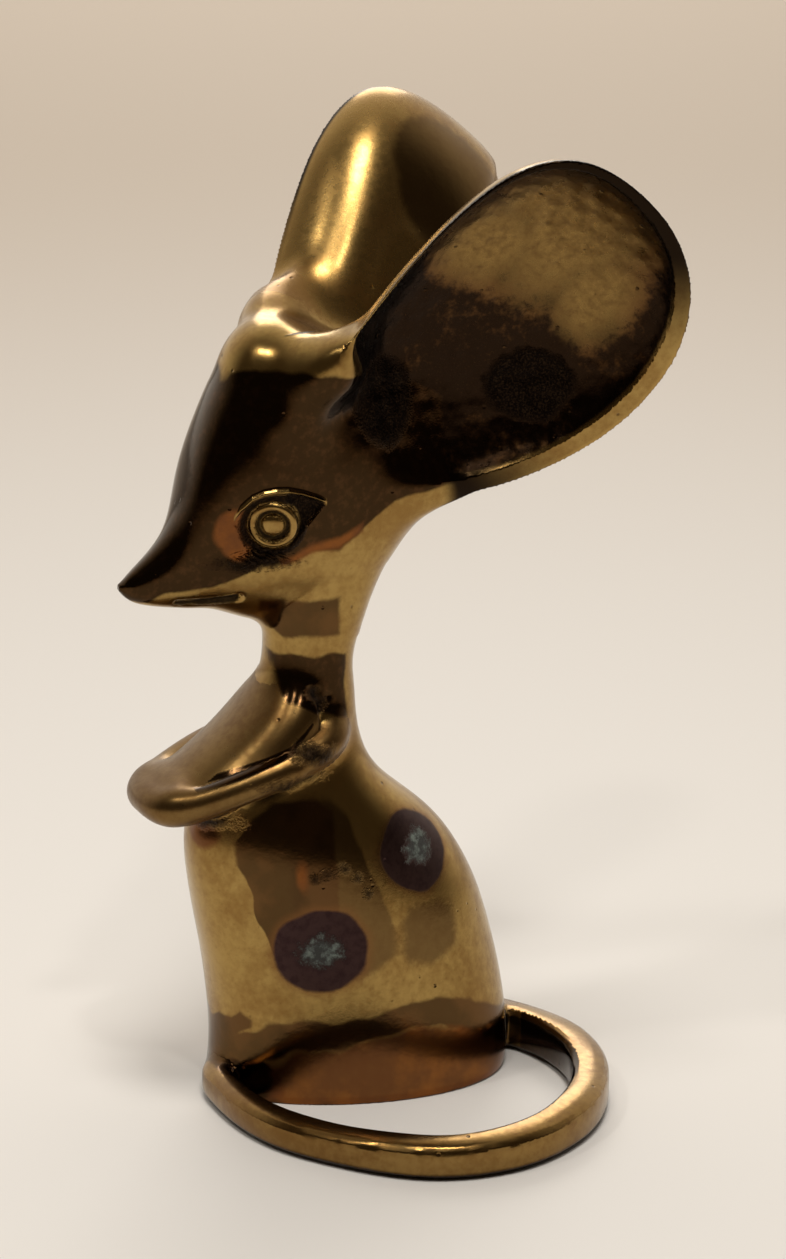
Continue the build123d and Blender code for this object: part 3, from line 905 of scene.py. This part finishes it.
def brass(name, kinds, with_cup, gold, shine):
    """Old brass that carries those kinds of stain and painted shade that the piece has."""
    deep = tuple(v * g / GOLD[i] for i, (v, g) in enumerate(zip(DEEP_GOLD, gold)))
    g = Graph(name)
    object_place = g.nodes.new("ShaderNodeTexCoord").outputs["Object"]
    place = g.vector("MULTIPLY", object_place, (1000.0, 1000.0, 1000.0))
    # Noise, from wide to fine
    cloud = g.noise(place, 0.10, 5.0, 0.6)
    mottle = g.noise(place, 0.8, 5.0, 0.62)
    speck = g.noise(place, 3.4, 3.0, 0.6)
    fuzz = g.math("SUBTRACT", g.plus(mottle, g.times(speck, 0.7)), 0.85)
    cup_part = g.attribute("cup")

    # Tarnish: clouds on the plain faces, a darker colour in hollow corners, worn off at the edges
    tarnish = g.ramp(g.plus(cloud, g.times(mottle, 0.45)), 0.52, 0.96)
    colour = g.mix(tarnish, gold, deep)
    colour = g.mix(g.ramp(speck, 0.58, 0.74, 0.0, 0.35), colour, BROWN)
    colour = g.mix(g.ramp(g.attribute("hollow"), 0.38, 0.85, 0.0, 0.86), colour, DARK)
    worn = tuple(1.2 * v for v in gold)
    colour = g.mix(g.ramp(g.attribute("thin"), 0.35, 0.95, 0.0, 0.5), colour, worn)
    rough = g.plus(g.plus(shine, g.times(mottle, 0.10)), g.times(tarnish, 0.05))
    metal = 1.0
    rise = g.times(mottle, 0.20)

    # The scoops stay as cast: dark and pitted, with a painted pool of light above the middle and
    # painted shade round it
    if with_cup:
        wander = g.plus(g.times(fuzz, 0.55), g.times(g.math("SUBTRACT", cloud, 0.5), 0.9))
        glow = g.plus(g.attribute("glow"), wander)
        warm = g.mix(g.ramp(cloud, 0.42, 0.60), (0.036, 0.020, 0.009), (0.105, 0.048, 0.018))
        lit_brass = g.mix(g.ramp(mottle, 0.32, 0.82), (0.245, 0.150, 0.047), (0.135, 0.076, 0.026))
        scoop = g.mix(g.ramp(glow, -0.05, 1.1), warm, lit_brass)
        lit = g.ramp(g.plus(glow, g.times(speck, -0.3)), -0.12, 0.26)
        scoop = g.mix(lit, (0.020, 0.011, 0.006), scoop)
        scoop = g.mix(g.ramp(speck, 0.60, 0.72, 0.0, 0.35), scoop, BROWN)
        colour = g.mix(cup_part, colour, scoop)
        rough = g.mix(cup_part, rough, g.plus(0.20, g.times(mottle, 0.18)), False)
        pit_gap, pit_colour = g.cells(place, 0.50)
        few = g.ramp(g.vector("DOT_PRODUCT", pit_colour, (1.0, 0.0, 0.0)), 0.78, 0.82)
        pits = g.times(g.times(g.ramp(pit_gap, 0.22, 0.08), few), cup_part)
        rise = g.plus(rise, g.plus(g.times(g.times(speck, 0.35), cup_part), g.times(pits, -1.1)))
        colour = g.mix(g.times(pits, 0.8), colour, DARK)
        # Painted shade on the lip round the top and the tip
        colour = g.mix(g.attribute("lip_shade"), colour, (0.015, 0.009, 0.005))

    # Small casting pits everywhere
    gap, cell = g.cells(place, 0.42)
    rare = g.ramp(g.vector("DOT_PRODUCT", cell, (0.0, 1.0, 0.0)), 0.84, 0.88)
    dots = g.times(g.ramp(gap, 0.15, 0.05), rare)
    colour = g.mix(g.times(dots, 0.7), colour, BROWN)
    rise = g.math("SUBTRACT", rise, g.times(dots, 0.8))

    # Stains, painted shade and painted reflections, each drawn over the ones before it
    tints = {
        "faint": (0.118, 0.069, 0.027),
        "brown": g.mix(g.ramp(cloud, 0.42, 0.58), BROWN, (0.115, 0.058, 0.022)),
        "dark": g.mix(g.ramp(mottle, 0.45, 0.70), DARK, (0.060, 0.030, 0.013)),
        "copper": g.mix(g.ramp(cloud, 0.40, 0.60), (0.24, 0.085, 0.022), (0.15, 0.058, 0.022)),
        "oxide": g.mix(g.ramp(mottle, 0.40, 0.70), (0.050, 0.028, 0.028), (0.034, 0.018, 0.020)),
        "verdigris": g.mix(g.ramp(mottle, 0.42, 0.66), (0.035, 0.042, 0.040), (0.20, 0.25, 0.225)),
        "soot_and_shade": g.mix(g.ramp(speck, 0.45, 0.66), (0.006, 0.004, 0.003), (0.030, 0.018, 0.010)),
        "solder": (0.50, 0.47, 0.42),
    }
    for kind in kinds:
        roughness, metallic, strength, width, wander = FINISH[kind]
        depth = g.plus(g.attribute(kind), g.times(fuzz, wander))
        if kind == "oxide":
            fringe = g.times(g.ramp(depth, -1.6, 0.2), 0.6)
            colour = g.mix(fringe, colour, (0.19, 0.085, 0.03))
        mask = g.times(g.ramp(depth, -width, width), strength)
        colour = g.mix(mask, colour, tints[kind])
        rough = g.mix(mask, rough, roughness, False)
        if metallic is not None:
            metal = g.mix(mask, metal, metallic, False)
            rise = g.plus(rise, g.times(mask, g.plus(g.times(speck, 2.0), g.times(mottle, 3.0))))

    bump = g.nodes.new("ShaderNodeBump")
    bump.inputs["Strength"].default_value = 0.5
    bump.inputs["Distance"].default_value = 0.0002
    g.put(bump.inputs["Height"], rise)
    g.put(g.shader.inputs["Base Color"], colour)
    g.put(g.shader.inputs["Roughness"], rough)
    g.put(g.shader.inputs["Metallic"], metal)
    g.put(g.shader.inputs["Normal"], bump.outputs[0])
    return g.material


for name, (piece, kinds) in made.items():
    gold = PIECE_GOLD.get(name, GOLD)
    shine = PIECE_SHINE.get(name, SHINE)
    with_cup = name.startswith(("ear", "head"))
    piece.data.materials.append(brass(name + "_brass", kinds, with_cup, gold, shine))

# A round pale floor, in metres, with a painted pool of light: pale by the mouse, darker and warmer
# away from it
FLOOR_RADIUS = 6
FLOOR_CORNERS = 96

floor_mesh = bpy.data.meshes.new("floor")
turns = np.linspace(0, 2 * math.pi, FLOOR_CORNERS, endpoint=False)
rim = [(math.cos(turn) * FLOOR_RADIUS, math.sin(turn) * FLOOR_RADIUS, 0) for turn in turns]
floor_mesh.from_pydata(rim, [], [range(FLOOR_CORNERS)])
floor = bpy.data.objects.new("floor", floor_mesh)
bpy.context.scene.collection.objects.link(floor)
g = Graph("pale_floor")
place = g.nodes.new("ShaderNodeTexCoord").outputs["Object"]
far = g.vector("LENGTH", place)
pale = g.mix(g.ramp(far, 0.04, 0.85), (0.78, 0.762, 0.748), (0.57, 0.49, 0.41))
g.put(g.shader.inputs["Base Color"], pale)
g.put(g.shader.inputs["Roughness"], 0.75)
floor_mesh.materials.append(g.material)

# The photograph's camera: its direction from the mouse, its distance in metres, its focal
# length and the picture's height in pixels, and the place that it looks at
AZIMUTH = math.radians(68.0)
ELEVATION = math.radians(16.4)
DISTANCE = 0.570
FOCAL_PIXELS = 4104.0
PICTURE_HEIGHT = 1259.0
SENSOR_HEIGHT = 36.0
AIM = Vector((25.63 + SHIFT[0], -3.73 + SHIFT[1], 75.0)) / 1000


def direction(azimuth, elevation):
    """A way from the mouse, by its turn from the front to the mouse's left and its rise."""
    return Vector((
        math.sin(azimuth) * math.cos(elevation),
        -math.cos(azimuth) * math.cos(elevation),
        math.sin(elevation),
    ))


# The room: pale behind the mouse, dimmer on the side that the camera looks from
world = bpy.data.worlds.new("studio")
bpy.context.scene.world = world
world.use_nodes = True
nodes, links = world.node_tree.nodes, world.node_tree.links
sky = nodes["Background"]
way = nodes.new("ShaderNodeTexCoord").outputs["Generated"]
toward = nodes.new("ShaderNodeVectorMath")
toward.operation = "DOT_PRODUCT"
toward.inputs[1].default_value = direction(AZIMUTH, 0.0)
links.new(way, toward.inputs[0])
dim = nodes.new("ShaderNodeMapRange")
dim.interpolation_type = "SMOOTHSTEP"
dim.inputs["From Min"].default_value = -0.75
dim.inputs["From Max"].default_value = 0.15
links.new(toward.outputs["Value"], dim.inputs[0])
blend = nodes.new("ShaderNodeMix")
blend.data_type = "RGBA"
behind_mouse, behind_camera = [s for s in blend.inputs if s.name in "AB" and s.enabled]
behind_mouse.default_value = (0.95, 0.87, 0.76, 1)
behind_camera.default_value = (0.055, 0.042, 0.03, 1)
links.new(dim.outputs[0], blend.inputs["Factor"])
links.new([s for s in blend.outputs if s.enabled][0], sky.inputs["Color"])

# Soft lamps of one warm colour, aimed at the middle of the mouse where no other aim is given
LAMP_COLOUR = (1.0, 0.95, 0.87)
LAMP_AIM = (0.0, 0.0, 0.07)


def lamp(name, turn, rise, distance, size, power, aim=LAMP_AIM):
    """A square lamp. Its turn from the camera and its rise, in degrees, are seen from the aim."""
    data = bpy.data.lights.new(name, "AREA")
    data.size = size
    data.energy = power
    data.color = LAMP_COLOUR
    lamp_object = bpy.data.objects.new(name, data)
    way = direction(AZIMUTH + math.radians(turn), math.radians(rise))
    lamp_object.location = Vector(aim) + way * distance
    lamp_object.rotation_euler = way.to_track_quat("Z", "Y").to_euler()
    bpy.context.scene.collection.objects.link(lamp_object)


lamp("ceiling", turn=10, rise=78, distance=1.2, size=0.30, power=6.5)
lamp("left_spot", turn=-63, rise=54, distance=1.1, size=0.07, power=1.1)
lamp("middle_spot", turn=-24, rise=58, distance=1.1, size=0.09, power=0.9)
lamp("right_spot", turn=18, rise=59, distance=1.1, size=0.07, power=1.1)
lamp("backdrop", turn=180, rise=50, distance=1.3, size=0.9, power=10.0, aim=(-0.8, 0.3, 0.0))

# The camera
camera_data = bpy.data.cameras.new("camera")
camera = bpy.data.objects.new("camera", camera_data)
bpy.context.scene.collection.objects.link(camera)
camera_data.sensor_fit = "VERTICAL"
camera_data.sensor_height = SENSOR_HEIGHT
camera_data.lens = FOCAL_PIXELS / PICTURE_HEIGHT * SENSOR_HEIGHT
camera_data.clip_end = 50.0
back = direction(AZIMUTH, ELEVATION)
camera.location = AIM + back * DISTANCE
camera.rotation_euler = back.to_track_quat("Z", "Y").to_euler()
bpy.context.scene.camera = camera
bpy.context.scene.view_settings.view_transform = "Standard"
